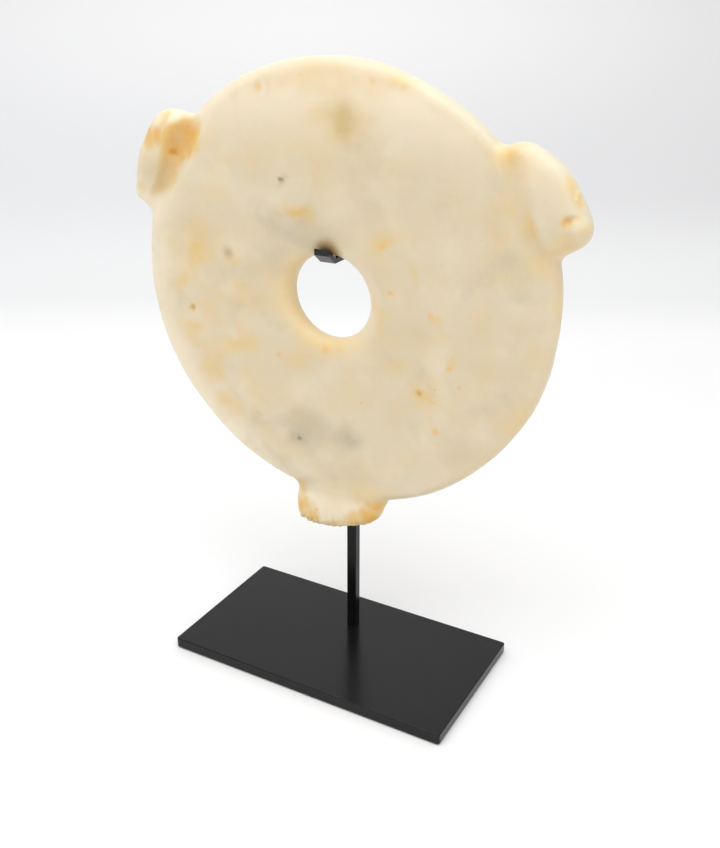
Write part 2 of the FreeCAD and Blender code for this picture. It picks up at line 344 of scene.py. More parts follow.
# The grid round the stone, and what the field is where nothing is near
STEP = np.array((1.1, 0.8, 1.1))
GRID_LOW = np.array((-109.0, -9.0, -122.0))
GRID_HIGH = np.array((112.0, 9.0, 101.0))
STONE_REACH = 130.0
OUTSIDE = 5.0
# How the mesh is moved onto the surface
SETTLE_PASSES = 2
SLOPE_STEP = 0.02
LEAST_SLOPE = 0.25
MOST_MOVE = 0.5
# Where the mesh is finer: in the ears' boxes less a margin, from a radius out and in front of a depth
FINE_MARGIN = 4
FINE_FROM = 86.0
FINE_BACK = 2.5


def sample():
    """The field on a regular grid round the stone."""
    axes = [np.arange(low, high, step) for low, high, step in zip(GRID_LOW, GRID_HIGH, STEP)]
    shape = tuple(len(axis) for axis in axes)
    grid = np.stack(np.meshgrid(*axes, indexing="ij"), -1).reshape(-1, 3)
    near = np.hypot(grid[:, 0], grid[:, 2]) < STONE_REACH
    values = np.full(len(grid), OUTSIDE)
    values[near] = stone(grid[near])
    return values.reshape(shape)


def surface_net(field):
    """Quads on the field's zero level, with one vertex in each grid cell that the level crosses."""
    shape = np.array(field.shape)
    cells = shape - 1
    total = np.zeros((cells.prod(), 3))
    count = np.zeros(cells.prod())
    quads = []
    inside = field < 0.0
    for a in range(3):
        b, c = (a + 1) % 3, (a + 2) % 3
        first = [slice(None)] * 3
        second = [slice(None)] * 3
        first[a], second[a] = slice(0, -1), slice(1, None)
        crossing = np.argwhere(inside[tuple(first)] != inside[tuple(second)])
        at = crossing.astype(float)
        beyond = crossing.copy()
        beyond[:, a] += 1
        f0, f1 = field[tuple(crossing.T)], field[tuple(beyond.T)]
        at[:, a] += f0 / (f0 - f1)
        corners = []
        for db, dc in ((1, 1), (0, 1), (0, 0), (1, 0)):
            cell = crossing.copy()
            cell[:, b] -= db
            cell[:, c] -= dc
            flat = np.ravel_multi_index(tuple(cell.T), tuple(cells))
            corners.append(flat)
            for k in range(3):
                total[:, k] += np.bincount(flat, at[:, k], len(total))
            count += np.bincount(flat, minlength=len(count))
        quad = np.stack(corners, 1)
        outward = inside[tuple(crossing.T)]
        quads.append(np.where(outward[:, None], quad, quad[:, ::-1]))
    used = np.flatnonzero(count)
    number = np.full(len(count), -1)
    number[used] = np.arange(len(used))
    places = total[used] / count[used][:, None]
    return GRID_LOW + places * STEP, number[np.concatenate(quads)]


def settle(points):
    """Points moved onto the field's zero level along its slope."""
    for _ in range(SETTLE_PASSES):
        value = stone(points)
        ahead = [stone(points + SLOPE_STEP * axis) for axis in np.eye(3)]
        slope = np.stack([(there - value) / SLOPE_STEP for there in ahead], 1)
        move = slope * (value / np.maximum((slope ** 2).sum(1), LEAST_SLOPE))[:, None]
        points = points - np.clip(move, -MOST_MOVE, MOST_MOVE)
    return points


def to_row(points):
    """Disc frame in the stone's units to the row frame in metres."""
    u, y, w = points.T * STONE_SCALE
    c, s = math.cos(DISC_LEAN), math.sin(DISC_LEAN)
    x, y, z = u + DISC_RIGHT, y * c - w * s + DISC_BEHIND, y * s + w * c + DISC_HEIGHT
    c, s = math.cos(HEAD_TURN), math.sin(HEAD_TURN)
    return np.stack((x * c - y * s + HEAD_RIGHT, x * s + y * c + HEAD_BEHIND, z), 1) * MM


def fine_faces(mesh, places):
    """Faces on the front and edges of the ears, where small carving needs a closer mesh."""
    centre = np.array([places[list(face.vertices)].mean(0) for face in mesh.polygons])
    radius = np.hypot(centre[:, 0], centre[:, 2])
    picked = np.zeros(len(centre), bool)
    for _, low, high in EARS:
        picked |= near_box(centre, np.array(low) + FINE_MARGIN, np.array(high) - FINE_MARGIN)
    return picked & (radius > FINE_FROM) & (centre[:, 1] < FINE_BACK)


def read_places(mesh):
    """Vertex places of a mesh as an array."""
    flat = np.empty(len(mesh.vertices) * 3)
    mesh.vertices.foreach_get("co", flat)
    return flat.reshape(-1, 3)


def make_stone():
    """The stone's mesh, finer on the ears, in the row frame, and its places in the disc's frame."""
    places, quads = surface_net(sample())
    places = settle(places)
    mesh = bpy.data.meshes.new("stone")
    mesh.from_pydata(places.tolist(), [], quads.tolist())
    picked = fine_faces(mesh, places)
    shape = bmesh.new()
    shape.from_mesh(mesh)
    shape.faces.ensure_lookup_table()
    edges = {edge for index in np.flatnonzero(picked) for edge in shape.faces[index].edges}
    edges = sorted(edges, key=lambda edge: edge.index)
    bmesh.ops.subdivide_edges(shape, edges=edges, cuts=1, use_grid_fill=True)
    shape.to_mesh(mesh)
    shape.free()
    places = settle(read_places(mesh))
    mesh.vertices.foreach_set("co", to_row(places).ravel())
    mesh.polygons.foreach_set("use_smooth", np.ones(len(mesh.polygons), bool))
    mesh.update()
    piece = bpy.data.objects.new("stone", mesh)
    bpy.context.scene.collection.objects.link(piece)
    return piece, places


# Stains and clouds on the face: u, w, half length, half width, turn in degrees, strength
WARM_PATCHES = (
    (6, 75, 17, 13, 30, 0.6), (6, 75, 9, 7.5, 20, 0.85), (-32, 85, 4, 3, 0, 0.6),
    (32, 89, 9, 5, -20, 0.5), (-18, 35.8, 6, 4.4, -8, 1.1), (-11.5, 33.2, 6.5, 4.4, -30, 0.8),
    (-24.2, 30.9, 3.4, 1.8, 0, 0.7), (24, 25.5, 7, 5, 40, 0.85), (33, 30, 7, 4, 20, 0.35),
    (-69, 12, 17, 8.5, 80, 0.85), (-80, 9, 13, 6, 80, 0.4), (-49, 11, 5, 4, 0, 0.6),
    (-31, 3, 8, 9, 0, 0.35), (-58, 22, 8, 5, 60, 0.4), (-79, -1, 10, 5, 60, 0.7),
    (-74, -14, 4, 3, 60, 0.7), (-75, -28, 8, 6, 20, 0.7), (-50, -30, 14, 5.5, 12, 0.75),
    (-66, -46, 11, 6, 60, 0.6), (-58, -60, 9, 7, 45, 0.65), (-40, -57, 7, 8, 0, 0.45),
    (-47, -8, 10, 6, 30, 0.4), (-22, -5, 7, 13, 0, 0.4), (-20, -32, 12, 6, 20, 0.4),
    (23, -6, 10, 2.6, 100, 0.6), (39, 13, 8, 2.5, 85, 0.5), (47, -1, 4, 2.4, -20, 0.7),
    (55, -22, 8, 2, 70, 0.6), (45.3, -37, 4.5, 1.5, -25, 1.1), (30, -27, 9, 4, 20, 0.45),
    (50, -54, 3, 2, 0, 0.7), (85, -42, 14, 7, 55, 0.5), (-52, 14, 3.4, 3.2, 0, 0.6),
    (-58, 40, 10, 6, 20, 0.35), (-36, 55, 10, 7, 0, 0.3), (60, 40, 10, 6, 30, 0.1),
    (0, 88, 38, 8, 0, 0.5), (-4, 54, 9, 15, 0, 0.3), (8, -48, 18, 6, 10, 0.3), (70, -22, 9, 6, 40, 0.2),
    (15, -81, 14, 6, 10, 0.25), (28, 6, 1.6, 1.4, 0, 0.8), (-60, 62, 9, 6, 40, 0.3))
GREY_PATCHES = (
    (-15, -66, 17, 12, 10, 0.75), (4, -66, 13, 10, 0, 0.75), (-20, -71, 8, 6, 0, 0.95),
    (5, -67, 7, 6, 0, 0.9), (74, 25, 12, 8, 30, 0.35), (-22.9, 48.6, 3.2, 2.8, 0, 0.6),
    (7, 75.5, 7.5, 6, 40, 0.55), (-38, 10, 16, 9, 30, 0.3), (-17, -94, 9, 4, 15, 0.6),
    (-14, 26, 24, 13, -15, 0.62), (-28, 15, 14, 11, 20, 0.5), (40, -10, 16, 10, 30, 0.25),
    (30, 50, 20, 12, 0, 0.25), (0, -86, 22, 6, -5, 0.2), (-30, -84, 14, 5, -30, 0.4),
    (60, -60, 12, 8, 40, 0.25))
# Small dots on the front: u, w and radius
DARK_DOTS = ((-22.9, 48.6, 1.1), (-19.2, -71.8, 0.9), (49, -34, 0.4), (13.5, -47.3, 0.4))
RUST_DOTS = ((24.5, 25, 1.2), (41.6, -36.8, 1.6), (-4, -24.6, 1.6), (-28.2, -31.2, 1.3), (28, 6, 0.9),
             (55, -23, 0.9), (46, -1.4, 1.2), (-73.5, -15, 1.3), (-32, 85, 1.4), (33, 88, 1.3),
             (49.5, -53.5, 0.9), (60, -31, 0.8), (20, 90, 0.9))
BROWN_DOTS = ((-52.0, 13.8, 2.2), (-52.0, 13.8, 1.4), (-74, -15, 1.2), (41.6, -37.2, 1.0))
# Lines of stain on the ears, and how far from the left one the ochre is full and ends
RIGHT_BAND = ((84, -6.5, 47, 0.5), (85.3, -6.5, 42, 1.5), (86, -6.5, 34, 1.5))
RIGHT_BROKEN = ((98, -4.8, 63.5, 0.4), (101, -4.4, 58.5, 1.9), (103.4, -3.8, 53.6, 2.3),
                (104.6, -3.6, 50.5, 0.8))
LEFT_STAIN = ((-67, -6, 72, 4.5), (-71, -6, 65, 6), (-76, -6, 58, 6), (-80, -6, 50.5, 4.8),
              (-85.4, -6, 42.5, 3.6), (-88.5, -6, 38, 2.4))
LEFT_STAIN_SPAN = (-1.5, 3.6)
# Ochre and brown along a line: the line, its strength, and how far from it the stain is full and ends
OCHRE_LINES = ((MOUTH, 1.4, -1.2, 2.4), (LEFT_CLEFT, 0.9, -1.5, 3.0), (RIGHT_BAND, 0.8, -2.5, 5.0),
               (RIGHT_BROKEN, 1.05, -1.3, 2.6))
BROWN_LINE = (MOUTH, 0.3, -0.6, 1.5)
# Ochre and brown in soft balls: centre, radius and strength
OCHRE_BALLS = (
    ((-69, -5, 63), 8, 1.75), ((-71.5, -5, 57), 6, 1.5), ((-77, -4, 61.5), 9, 1.05),
    ((-78.3, -3, 56), 5.5, 2.1), ((-84, -6, 62), 7, 1.3), ((-90.5, -6, 61.5), 8, 1.2),
    ((-80, -7, 65.5), 6, 0.8), ((-81, -3, 72), 10, 0.15), ((-97, -6, 39), 6, 0.7),
    ((-88, -6, 48), 18, 0.55), ((76, -6, 66), 11, 0.8), ((80, -6, 61), 10, 0.5), ((80, -6, 50), 9, 0.45),
    ((93, -6, 28), 9, 0.6), ((99.9, -7, 43.2), 2.6, 1), ((107, -4, 41), 4, 0.7),
    ((100, -6, 33), 10, 0.55), ((17, -6, -106), 8.5, 1.7), ((20, -5, -101), 8, 1.4),
    ((9, -6, -110), 10, 1), ((-21, -5, -109), 9, 1.2), ((-14, -6, -114), 8, 1.2),
    ((-17.2, -6, -107), 7, 1), ((-21, -6, -99), 9, 0.9), ((0, -6, -101), 18, 0.4),
    ((14, -6, -94.5), 13, 0.6), ((0, -4, -118), 13, 0.9), ((-12.5, -7, -108.5), 2, 1.1))
BROWN_BALLS = (
    ((-1.8, -6, 19.4), 8.5, 1.2), ((-78.6, -2, 55.6), 4, 0.3), ((-18, -5, -114), 5, 0.3),
    ((19, -5, -106), 3, 0.3), ((-77, -4, 59), 7, 0.25), ((0, -6, -117), 12, 0.2))
GREY_BALL = ((-91, -6, 46), 15, 0.6)
# Painted light on the right ear's upper lobe
BRIGHT_BALL = ((92, -5, 58), 17, 0.4)
# The patches fade between these shares of their size and over this depth behind the face. Their outlines
# wander this far at this wavelength, and the back has the front's patches, turned.
PATCH_FADE = (0.1, 1.5)
PATCH_DEPTH = (-2.0, 4.0)
PATCH_BEND = 2.2
PATCH_WAVE = 15.0
PATCH_SEEDS = (21, 22)
BACK_COS, BACK_SIN = -0.6, 0.8
# The balls fade out at this share of their radius, and the ears' stains wander this far at this wavelength
BALL_FADE = 1.3
EAR_STAIN_BEND = 0.7
EAR_STAIN_WAVE = 8.0
EAR_STAIN_SEEDS = (41, 42, 43)
STAIN_WAVES = 7
# The left valley's ochre: its strength below, what is added above, and where it deepens and ends
VALLEY_STAIN = 0.95
VALLEY_ADDED = 0.3
VALLEY_DEEPENS = (44.0, 62.0)
VALLEY_ENDS = (64.0, 76.0)
# Honey round the hole: its strength, what is added at the edge, the distances past the edge over which that
# is added and all of it ends, the way to its strongest side, and how far round that side reaches
RING_STAIN = 0.35
RING_ADDED = 0.35
RING_START = (-4.0, 1.0)
RING_END = (1.0, 13.0)
RING_LEFT, RING_DOWN = 0.8, 0.6
RING_SIDE = (-0.9, 0.4)
# Paler stone and painted light: up and down, painted light on the hole's shaded walls, round the left edge
# and on the right ear, held back on the rim at the top where the lamp lights it
BRIGHT_UP = (48.0, 92.0)
BRIGHT_DOWN = (-93.0, -101.0)
BRIGHT_HOLE = (-5.0, 10.0)
BRIGHT_EDGE = (78.0, 97.0)
BRIGHT_LEFT = (10.0, -60.0)
BRIGHT_EDGE_SHARE = 0.9
RIM_LAMP_LIT = (90.0, 98.0)
RIM_LAMP_LIT_UP = (30.0, 60.0)
RIM_LAMP_LIT_SHARE = 0.9
# The painted highlight, paler and greyer, on faces turned up to the lamp: by how far the surface faces up,
# and by height
PAINTED_HIGHLIGHT_FACING = (0.1, 0.8)
PAINTED_HIGHLIGHT_UP = (0.0, 30.0)


def spots(points, patches, side):
    """Soft field of the patches on one side of the disc, -1 front and 1 back."""
    u, y, w = points.T
    if side > 0:
        u, w = BACK_COS * u - BACK_SIN * w, BACK_SIN * u + BACK_COS * w
    bend = [PATCH_BEND * swell(points, PATCH_WAVE, STAIN_WAVES, seed) for seed in PATCH_SEEDS]
    total = np.zeros(len(points))
    for cu, cw, long, wide, turn, strength in patches:
        c, s = math.cos(math.radians(turn)), math.sin(math.radians(turn))
        du, dw = u + bend[0] - cu, w + bend[1] - cw
        away = np.hypot((du * c + dw * s) / long, (dw * c - du * s) / wide)
        total = np.maximum(total, strength * (1.0 - smooth(*PATCH_FADE, away)))
    return total * smooth(*PATCH_DEPTH, side * y)


def both_sides(points, patches):
    """Soft field of the patches on the front and the back."""
    return np.maximum(spots(points, patches, -1), spots(points, patches, 1))


def around(points, centre, radius, strength):
    """Soft ball of stain about a place in the disc's frame."""
    away = np.linalg.norm(points - np.array(centre, float), axis=1) / radius
    return strength * (1.0 - smooth(0.0, BALL_FADE, away))


def along(points, line, strength, low, high):
    """Soft stain along a line in the disc's frame."""
    return strength * (1.0 - smooth(low, high, rope(points, line)))


def ear_stains(points):
    """Ochre in the hollows of the ears."""
    bend = [EAR_STAIN_BEND * swell(points, EAR_STAIN_WAVE, STAIN_WAVES, seed) for seed in EAR_STAIN_SEEDS]
    points = points + np.stack(bend, 1)
    height = points[:, 2]
    valley = VALLEY_STAIN + VALLEY_ADDED * smooth(*VALLEY_DEEPENS, height)
    valley = valley * (1.0 - smooth(*VALLEY_ENDS, height))
    total = along(points, LEFT_STAIN, valley, *LEFT_STAIN_SPAN)
    for stain in OCHRE_LINES:
        total = np.maximum(total, along(points, *stain))
    for stain in OCHRE_BALLS:
        total = np.maximum(total, around(points, *stain))
    return total


def brown_stains(points):
    """Brown above the hook, and in the deepest pits of the ears."""
    total = along(points, *BROWN_LINE)
    for stain in BROWN_BALLS:
        total = np.maximum(total, around(points, *stain))
    return total


def hole_stain(u, w):
    """Honey round the hole, strongest at its lower left."""
    way = -(u - HOLE_U) / HOLE_RADIUS * RING_LEFT - (w - HOLE_W) / HOLE_RADIUS * RING_DOWN
    past = past_hole(u, w)
    strength = RING_STAIN + RING_ADDED * smooth(*RING_START, past)
    return strength * (1.0 - smooth(*RING_END, past)) * smooth(*RING_SIDE, way)


def pale_and_painted_light_field(points):
    """Where the stone is paler, with painted light on the hole's shaded walls, round the left edge, on the
    bottom ear and the right ear's lobe, held back on the rim at the top where the lamp lights it.
    """
    u, w = points[:, 0], points[:, 2]
    out = np.hypot(u, w)
    # Painted light held back on the rim at the top, where the lamp already lights it
    lamp_lit = smooth(*RIM_LAMP_LIT, out) * smooth(*RIM_LAMP_LIT_UP, w)
    pale_and_painted_light = np.maximum(smooth(*BRIGHT_UP, w), smooth(*BRIGHT_DOWN, w)) * (1.0 - RIM_LAMP_LIT_SHARE * lamp_lit)
    # Painted light on the hole's walls, which the stone round them shades
    pale_and_painted_light = np.maximum(pale_and_painted_light, 1.0 - smooth(*BRIGHT_HOLE, past_hole(u, w)))
    pale_and_painted_light = np.maximum(pale_and_painted_light, around(points, *BRIGHT_BALL))
    return np.maximum(pale_and_painted_light, BRIGHT_EDGE_SHARE * smooth(*BRIGHT_EDGE, out) * smooth(*BRIGHT_LEFT, u))


def paint_fields(mesh, points):
    """Soft colour fields that the marble's nodes read, one number a vertex each."""
    u, w = points[:, 0], points[:, 2]
    normals = np.empty(len(points) * 3)
    mesh.vertex_normals.foreach_get("vector", normals)
    fields = {
        "warm": np.maximum(both_sides(points, WARM_PATCHES), hole_stain(u, w)),
        "ochre": ear_stains(points),
        "grey": np.maximum(both_sides(points, GREY_PATCHES), around(points, *GREY_BALL)),
        "brown": brown_stains(points),
        # Paler stone and painted light
        "pale_and_painted_light": pale_and_painted_light_field(points),
        # Painted highlight on faces turned up to the lamp
        "painted_top_highlight": smooth(*PAINTED_HIGHLIGHT_FACING, normals[2::3]) * smooth(*PAINTED_HIGHLIGHT_UP, w),
    }
    for name, values in fields.items():
        mesh.attributes.new(name, "FLOAT", "POINT").data.foreach_set("value", values.astype(np.float32))


def new_material(name):
    """Empty node material with its principled shader and output."""
    material = bpy.data.materials.new(name)
    material.use_nodes = True
    tree = material.node_tree
    tree.nodes.clear()
    shader = tree.nodes.new("ShaderNodeBsdfPrincipled")
    output = tree.nodes.new("ShaderNodeOutputMaterial")
    tree.links.new(shader.outputs[0], output.inputs[0])
    return material, tree, shader


def feed(tree, socket, value):
    """Link a node's output to a socket, or set the socket's own value."""
    if isinstance(value, bpy.types.NodeSocket):
        tree.links.new(value, socket)
    else:
        socket.default_value = value


def coords(tree):
    """Object coordinates, in metres."""
    return tree.nodes.new("ShaderNodeTexCoord").outputs["Object"]


def noise(tree, vector, scale, detail=4.0, roughness=0.5, distortion=0.0):
    """Noise between 0 and 1."""
    node = tree.nodes.new("ShaderNodeTexNoise")
    feed(tree, node.inputs["Vector"], vector)
    node.inputs["Scale"].default_value = scale
    node.inputs["Detail"].default_value = detail
    node.inputs["Roughness"].default_value = roughness
    node.inputs["Distortion"].default_value = distortion
    return node.outputs["Fac"]


def span(tree, value, low, high, to_low=0.0, to_high=1.0):
    """Smooth step of a value: to_low at low and to_high at high."""
    node = tree.nodes.new("ShaderNodeMapRange")
    node.interpolation_type = "SMOOTHSTEP"
    feed(tree, node.inputs["Value"], value)
    node.inputs["From Min"].default_value = low
    node.inputs["From Max"].default_value = high
    node.inputs["To Min"].default_value = to_low
    node.inputs["To Max"].default_value = to_high
    return node.outputs["Result"]


def maths(tree, operation, a, b=0.0):
    """One arithmetic node."""
    node = tree.nodes.new("ShaderNodeMath")
    node.operation = operation
    feed(tree, node.inputs[0], a)
    feed(tree, node.inputs[1], b)
    return node.outputs[0]


# The colour sockets of a Mix node
MIX_A, MIX_B, MIX_RESULT = 6, 7, 2


def tint(tree, amount, a, b):
    """Mix of two colours."""
    node = tree.nodes.new("ShaderNodeMix")
    node.data_type = "RGBA"
    feed(tree, node.inputs["Factor"], amount)
    feed(tree, node.inputs[MIX_A], a)
    feed(tree, node.inputs[MIX_B], b)
    return node.outputs[MIX_RESULT]


def layer(tree, colour, cover, share, over):
    """One colour laid over another, by its cover times its share."""
    return tint(tree, maths(tree, "MULTIPLY", cover, share), colour, over)


def cloud(tree, place, texture, low, high):
    """Soft patches of a noise."""
    return span(tree, noise(tree, place, *texture), low, high)


def clouded(tree, place, colour, texture, low, high, share, over):
    """A colour with soft patches of another over it."""
    return layer(tree, colour, cloud(tree, place, texture, low, high), share, over)


def mesh_field(tree, name):
    """A colour field of the mesh."""
    node = tree.nodes.new("ShaderNodeAttribute")
    node.attribute_name = name
    return node.outputs["Fac"]


def bump(tree, height, strength, distance, under=None):
    """Bump from a height."""
    node = tree.nodes.new("ShaderNodeBump")
    feed(tree, node.inputs["Height"], height)
    node.inputs["Strength"].default_value = strength
    node.inputs["Distance"].default_value = distance
    if under is not None:
        feed(tree, node.inputs["Normal"], under)
    return node.outputs[0]


def relief(tree, place, texture, strength, distance, under=None):
    """Bump from a noise."""
    return bump(tree, noise(tree, place, *texture), strength, distance, under)


# Detail of the noise that frays the edges of the stains
FRAY_DETAIL = 3.0


def frayed(tree, vector, name, scale, spread, low, high):
    """A colour field whose soft edge is broken up by noise."""
    rough = maths(tree, "MULTIPLY_ADD", noise(tree, vector, scale, FRAY_DETAIL), spread)
    rough.node.inputs[2].default_value = -spread / 2.0
    return span(tree, maths(tree, "ADD", mesh_field(tree, name), rough), low, high)


# Colours of the paper, of the stone and what lies over it, of the paint, the felt and the zinc
TABLE = (0.88, 0.88, 0.88, 1)
# Painted shade and light on the backdrop: greyer up from the table and to the right, paler in a pool to the
# left
PAPER_LOW = (0.785, 0.79, 0.795, 1)
PAPER_LEFT = (0.735, 0.74, 0.755, 1)
PAPER_RIGHT = (0.672, 0.672, 0.68, 1)
PAPER_HIGH = (0.835, 0.835, 0.84, 1)
CREAM = (0.735, 0.62, 0.425, 1)
PALE = (0.79, 0.705, 0.55, 1)
BRIGHT = (0.92, 0.835, 0.66, 1)
OCHRE = (0.80, 0.46, 0.09, 1)
HONEY = (0.78, 0.58, 0.25, 1)
CLOUD = (0.47, 0.40, 0.275, 1)
FLECK = (0.16, 0.13, 0.085, 1)
AMBER = (0.80, 0.48, 0.14, 1)
UMBER = (0.42, 0.27, 0.10, 1)
# The painted highlight's colour
PAINTED_HIGHLIGHT = (0.67, 0.65, 0.52, 1)
RUST = (0.42, 0.25, 0.06, 1)
BROWN = (0.17, 0.09, 0.025, 1)
PAINT_DEEP = (0.0056, 0.0050, 0.0052, 1)
PAINT_DUSTY = (0.0072, 0.0065, 0.0067, 1)
FELT_DEEP = (0.012, 0.012, 0.014, 1)
FELT_FIBRE = (0.045, 0.045, 0.050, 1)
ZINC_DULL = (0.50, 0.51, 0.53, 1)
ZINC_WORN = (0.62, 0.62, 0.62, 1)

# A noise is given by its scale, detail, roughness and distortion. Most of its values lie in this range.
NOISE_MIDDLE = (0.3, 0.7)
# Clouds in the marble: the noise, where the cloud starts and is full, its share and its colour
PALE_CLOUDS = ((26.0, 5.0, 0.55, 0.4), 0.34, 0.68, 0.6, PALE)
SMOKE_CLOUDS = ((34.0, 6.0, 0.62, 0.6), 0.50, 0.80, 0.35, CLOUD)
MILK_CLOUDS = ((52.0, 2.0, 0.5), 0.50, 0.75, 0.25, BRIGHT)
GRAIN = ((900.0, 3.0, 0.6), *NOISE_MIDDLE, 0.10, PALE)
# Honey mottling, which comes and goes with a broader drift: the noises, and where they start and are full
MOTTLE = ((58.0, 3.0, 0.5, 0.3), 0.46, 0.74)
DRIFT = ((13.0, 3.0, 0.5, 0.3), 0.40, 0.62)
MOTTLE_SHARE = 0.55
# Fields of the mesh laid over the marble as they are, paler stone with painted light and a painted
# highlight: the field, its share and its colour
FIELD_LAYERS = (("pale_and_painted_light", 0.85, BRIGHT), ("painted_top_highlight", 0.75, PAINTED_HIGHLIGHT))
# Stains over the marble, each a field with an edge frayed by noise: the field, the noise's scale and
# spread, where the stain starts and is full, its share and its colour
STAIN_LAYERS = (
    ("warm", 95.0, 0.5, -0.1, 1.15, 0.95, HONEY), ("warm", 190.0, 0.6, 0.65, 1.35, 0.6, OCHRE),
    ("ochre", 160.0, 0.3, 0.0, 1.0, 0.80, HONEY), ("ochre", 170.0, 0.9, 0.45, 1.65, 0.90, OCHRE),
    ("grey", 90.0, 0.4, 0.0, 1.3, 0.80, CLOUD), ("brown", 200.0, 0.25, 0.1, 0.9, 0.75, RUST),
    ("brown", 200.0, 0.25, 0.65, 1.35, 0.5, BROWN))
# Dots over the stains: their places, their share and their colour
DOT_LAYERS = ((RUST_DOTS, 0.65, AMBER), (BROWN_DOTS, 0.6, UMBER), (DARK_DOTS, 0.75, FLECK))
# The dots are pulled out of round by up to half of this, at this scale of noise, and fade between these
# shares of their radius
DOT_WOBBLE = 2.2 * MM
DOT_WOBBLE_SCALE = 420.0
DOT_FADE = (2.2, -0.4)

# Ochre specks with a pit in each: their scale, where the colour starts and is full and its share, where
# the pit is deepest and ends, and its bump's strength and height in metres
SPECK_SCALE = 90.0
SPECK_SPAN = (0.055, 0.02)
SPECK_SHARE = 0.35
SPECK_PIT_SPAN = (0.0, 0.06)
SPECK_PIT = (0.3, 0.0003)
# How strongly light enters the stone, how far each of red, green and blue goes, and that unit in metres
SCATTER_WEIGHT = 0.55
SCATTER_RADIUS = (1.0, 0.75, 0.50)
SCATTER_SCALE = 0.008
# Relief: a noise, the bump's strength and its height in metres
STONE_WEAR = ((210.0, 6.0, 0.6), 0.10, 0.0012)
STONE_SUGAR = ((1100.0, 3.0, 0.6), 0.06, 0.0003)
PAINT_PEEL = ((700.0, 2.0, 0.5), 0.008, 0.0003)
# Felt and zinc take colour and relief from one noise each: the noise, and the bump's strength and height
FELT_FIBRES = (1800.0, 6.0, 0.75, 1.5)
FELT_SPAN = (0.35, 0.7)
FELT_BUMP = (0.6, 0.0004)
ZINC_WEAR = (900.0, 4.0, 0.6)
ZINC_BUMP = (0.2, 0.0002)
# Noises of the stone's and the paint's sheen, and the paint's dust with where it starts and is full
STONE_SHEEN = (120.0, 5.0, 0.6)
PAINT_SHEEN = (90.0, 5.0, 0.6)
PAINT_DUST = ((60.0, 6.0, 0.6, 0.5), 0.35, 0.75)
# Least and most roughness of the stone and the zinc, and each paint's shine with its own two
STONE_ROUGHNESS = (0.34, 0.50)
ZINC_ROUGHNESS = (0.28, 0.42)
PLATE_PAINT = (0.28, 0.19, 0.22)
POST_PAINT = (0.16, 0.16, 0.22)
HOOK_PAINT = (0.42, 0.13, 0.19)


def dotted(tree, place, dots):
    """Small soft dots on the disc's front, each pulled a little out of round."""
    wobble = tree.nodes.new("ShaderNodeTexNoise")
    feed(tree, wobble.inputs["Vector"], place)
    wobble.inputs["Scale"].default_value = DOT_WOBBLE_SCALE
    warp = tree.nodes.new("ShaderNodeVectorMath")
    warp.operation = "MULTIPLY_ADD"
    feed(tree, warp.inputs[0], wobble.outputs["Color"])
    warp.inputs[1].default_value = (DOT_WOBBLE, DOT_WOBBLE, DOT_WOBBLE)
    feed(tree, warp.inputs[2], place)
    total = None
    centres = to_row(np.array([(u, -DISC_HALF, w) for u, w, _ in dots], float))
    for centre, (_, _, radius) in zip(centres, dots):
        gap = tree.nodes.new("ShaderNodeVectorMath")
        gap.operation = "DISTANCE"
        feed(tree, gap.inputs[0], warp.outputs[0])
        gap.inputs[1].default_value = tuple(centre + DOT_WOBBLE / 2.0)
        dot = span(tree, gap.outputs["Value"], *(radius * MM * share for share in DOT_FADE))
        total = dot if total is None else maths(tree, "MAXIMUM", total, dot)
    return total


def marble():
    """Translucent cream marble: clouds, painted light, a painted highlight on upward faces, honey, ochre,
    grey and brown stains, dots and grain.
    """
    material, tree, shader = new_material("marble")
    place = coords(tree)
    colour = clouded(tree, place, CREAM, *PALE_CLOUDS)
    mottle = maths(tree, "MULTIPLY", cloud(tree, place, *MOTTLE), cloud(tree, place, *DRIFT))
    colour = layer(tree, colour, mottle, MOTTLE_SHARE, HONEY)
    for name, share, over in FIELD_LAYERS:
        colour = layer(tree, colour, mesh_field(tree, name), share, over)
    colour = clouded(tree, place, colour, *SMOKE_CLOUDS)
    colour = clouded(tree, place, colour, *MILK_CLOUDS)
    for name, scale, spread, low, high, share, over in STAIN_LAYERS:
        colour = layer(tree, colour, frayed(tree, place, name, scale, spread, low, high), share, over)
    colour = clouded(tree, place, colour, *GRAIN)
    for dots, share, over in DOT_LAYERS:
        colour = layer(tree, colour, dotted(tree, place, dots), share, over)
    specks = tree.nodes.new("ShaderNodeTexVoronoi")
    feed(tree, specks.inputs["Vector"], place)
    specks.inputs["Scale"].default_value = SPECK_SCALE
    speck = span(tree, specks.outputs["Distance"], *SPECK_SPAN)
    colour = layer(tree, colour, speck, SPECK_SHARE, OCHRE)
    feed(tree, shader.inputs["Base Color"], colour)
    satin = span(tree, noise(tree, place, *STONE_SHEEN), *NOISE_MIDDLE, *STONE_ROUGHNESS)
    feed(tree, shader.inputs["Roughness"], satin)
    shader.inputs["Specular IOR Level"].default_value = 0.4
    shader.inputs["Subsurface Weight"].default_value = SCATTER_WEIGHT
    shader.inputs["Subsurface Radius"].default_value = SCATTER_RADIUS
    shader.inputs["Subsurface Scale"].default_value = SCATTER_SCALE
    wear = relief(tree, place, *STONE_WEAR)
    sugar = relief(tree, place, *STONE_SUGAR, wear)
    pits = bump(tree, span(tree, specks.outputs["Distance"], *SPECK_PIT_SPAN), *SPECK_PIT, sugar)
    feed(tree, shader.inputs["Normal"], pits)
    return material


